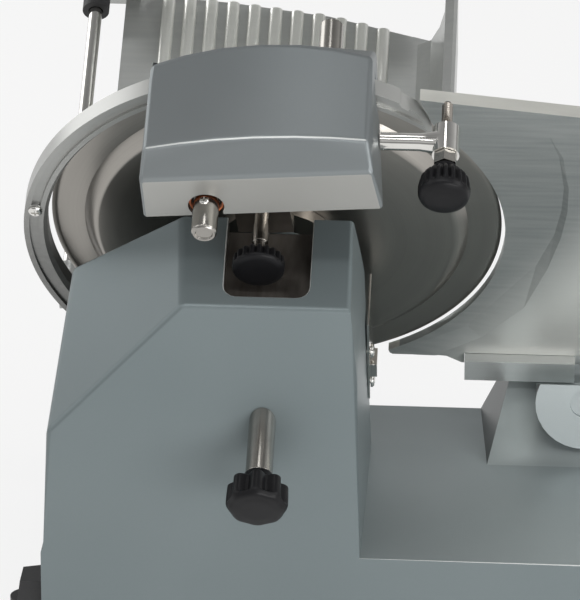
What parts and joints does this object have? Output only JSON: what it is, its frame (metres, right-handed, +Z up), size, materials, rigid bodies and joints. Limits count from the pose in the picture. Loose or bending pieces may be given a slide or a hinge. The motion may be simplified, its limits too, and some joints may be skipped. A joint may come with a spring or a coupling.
{
  "type": "meat slicer",
  "caption": "Electric gravity-feed meat slicer with round blade, ring guard, tilting-plane gauge plate, sliding food carriage, pusher and built-in sharpener.",
  "frame": {"origin": "centre of the overall box, on the plane the feet stand on", "axes": "+X along the carriage's travel, away from the motor tower; +Y from the slice side to the feeding side; +Z up"},
  "size_m": [0.4256, 0.447, 0.3541],
  "materials": {
    "cast": "satin cast",
    "sheet": "brushed",
    "foot_rubber": "matte",
    "motor": "painted",
    "belt": "matte",
    "steel": "ground",
    "satin": "satin",
    "chrome": "polished",
    "plastic": "matte",
    "machined": "turned",
    "blade": "ground and polished",
    "knob": "semi gloss",
    "bush": "matte",
    "stone": "rough abrasive",
    "green": "gloss",
    "red": "gloss"
  },
  "bodies": {
    "base": {"base_housing": "cast", "bottom_cover": "sheet", "foot_rear_left": "foot_rubber", "foot_rear_right": "foot_rubber", "foot_front_left": "foot_rubber", "foot_front_right": "foot_rubber", "motor_body": "motor", "drive_belt": "belt", "spindle_housing": "cast", "bearing_front": "steel", "bearing_rear": "steel", "blade_cover": "satin", "tie_rod": "steel", "tie_rod_spacer": "chrome", "ring_guard": "satin", "slice_deflector": "chrome", "deflector_screw_1": "chrome", "deflector_screw_2": "chrome", "switch_housing": "plastic", "cable_gland": "plastic", "slide_rod": "chrome"},
    "blade_rotor": {"spindle": "steel", "blade_pulley": "machined", "blade": "blade", "blade_screw_1": "chrome", "blade_screw_2": "chrome", "blade_screw_3": "chrome"},
    "motor_rotor": {"motor_pulley": "machined"},
    "tie_knob": {"tie_rod_knob": "knob"},
    "sharpener": {"sharpener_cover": "cast", "sharpener_bracket": "steel", "sharpener_stud": "chrome", "button_bush": "bush", "stop_arm": "chrome", "stop_lock_nut": "chrome"},
    "lock_knob": {"sharpener_knob": "knob"},
    "grinding_plunger": {"grinding_button": "chrome"},
    "grinding_wheel": {"grinding_stone": "stone"},
    "truing_plunger": {"truing_button": "chrome"},
    "truing_wheel": {"truing_stone": "stone"},
    "side_stop": {"stop_screw": "chrome", "stop_knob": "knob"},
    "gauge": {"gauge_plate": "satin", "gauge_bracket": "satin", "gauge_slide_bar": "steel", "cam_follower": "steel"},
    "index_dial": {"index_cam_shaft": "steel", "index_knob": "knob"},
    "carriage": {"carriage_slider": "cast", "carriage_arm": "satin", "carriage_table": "satin", "carriage_handle": "knob", "pusher_rod": "chrome"},
    "roller": {"carriage_roller": "plastic"},
    "arm_lock": {"carriage_lock_screw": "knob"},
    "pusher_slider": {"pusher_collar": "plastic"},
    "pusher": {"pusher_plate": "satin", "pusher_handle": "knob"},
    "start_button": {"on_button": "green"},
    "stop_button": {"off_button": "red"}
  },
  "joints": [
    {"name": "blade_spin", "type": "hinge", "parent": "base", "child": "blade_rotor", "pos_m": [-0.07225, -0.04569, 0.2245], "axis": [0, -0.866, -0.5], "continuous": true},
    {"name": "motor_spin", "type": "hinge", "parent": "base", "child": "motor_rotor", "pos_m": [-0.11725, 0.00031, 0.14483], "axis": [0, -0.866, -0.5], "continuous": true},
    {"name": "tie_knob_turn", "type": "hinge", "parent": "base", "child": "tie_knob", "pos_m": [-0.07225, -0.04569, 0.2245], "axis": [0, -0.866, -0.5], "continuous": true},
    {"name": "sharpener_lift", "type": "slide", "parent": "base", "child": "sharpener", "axis": [0, -0.5, 0.866], "range_m": [0, 0.025]},
    {"name": "lock_knob_turn", "type": "hinge", "parent": "sharpener", "child": "lock_knob", "pos_m": [-0.07595, -0.07669, 0.27819], "axis": [0, -0.866, -0.5], "continuous": true},
    {"name": "grinding_push", "type": "slide", "parent": "sharpener", "child": "grinding_plunger", "axis": [0, -0.866, -0.5], "range_m": [-0.0125, 0], "stiffness_N_per_m": 150, "springref_m": 0.006},
    {"name": "grinding_spin", "type": "hinge", "parent": "grinding_plunger", "child": "grinding_wheel", "pos_m": [-0.10543, -0.10147, 0.32111], "axis": [0, -0.866, -0.5], "continuous": true},
    {"name": "truing_push", "type": "slide", "parent": "sharpener", "child": "truing_plunger", "axis": [0, 0.866, 0.5], "range_m": [-0.004, 0], "stiffness_N_per_m": 150, "springref_m": 0.008},
    {"name": "truing_spin", "type": "hinge", "parent": "truing_plunger", "child": "truing_wheel", "pos_m": [-0.04124, -0.10667, 0.33013], "axis": [0, -0.866, -0.5], "continuous": true},
    {"name": "side_stop_turn", "type": "hinge", "parent": "sharpener", "child": "side_stop", "pos_m": [0.02276, -0.10469, 0.32669], "axis": [0, -0.866, -0.5], "continuous": true},
    {"name": "gauge_slide", "type": "slide", "parent": "base", "child": "gauge", "axis": [0, -0.866, -0.5], "range_m": [0, 0.015]},
    {"name": "index_turn", "type": "hinge", "parent": "base", "child": "index_dial", "pos_m": [0.18125, 0, 0.04063], "axis": [0, 1, 0], "range_deg": [0, 300]},
    {"name": "carriage_slide", "type": "slide", "parent": "base", "child": "carriage", "axis": [1, 0, 0], "range_m": [-0.045, 0.217]},
    {"name": "roller_turn", "type": "hinge", "parent": "carriage", "child": "roller", "pos_m": [-0.10025, 0.09231, 0.0453], "axis": [0, 1, 0], "continuous": true},
    {"name": "arm_lock_turn", "type": "hinge", "parent": "carriage", "child": "arm_lock", "pos_m": [-0.10025, 0.07131, 0.08], "axis": [0, 0, 1], "continuous": true},
    {"name": "pusher_slide", "type": "slide", "parent": "carriage", "child": "pusher_slider", "axis": [0, -0.866, -0.5], "range_m": [0, 0.18]},
    {"name": "pusher_swing", "type": "hinge", "parent": "pusher_slider", "child": "pusher", "pos_m": [-0.19375, -0.00969, 0.16215], "axis": [0, -0.866, -0.5], "range_deg": [0, 100]},
    {"name": "start_press", "type": "slide", "parent": "base", "child": "start_button", "axis": [0, 0, 1], "range_m": [-0.003, 0], "stiffness_N_per_m": 200, "springref_m": 0.002},
    {"name": "stop_press", "type": "slide", "parent": "base", "child": "stop_button", "axis": [0, 0, 1], "range_m": [-0.003, 0], "stiffness_N_per_m": 200, "springref_m": 0.002}
  ],
  "couplings": [
    {"joint": "motor_spin", "follows": "blade_spin", "ratio": 2.933},
    {"joint": "index_turn", "follows": "gauge_slide", "rad_per_m": 349},
    {"joint": "roller_turn", "follows": "carriage_slide", "rad_per_m": 166.67}
  ]
}
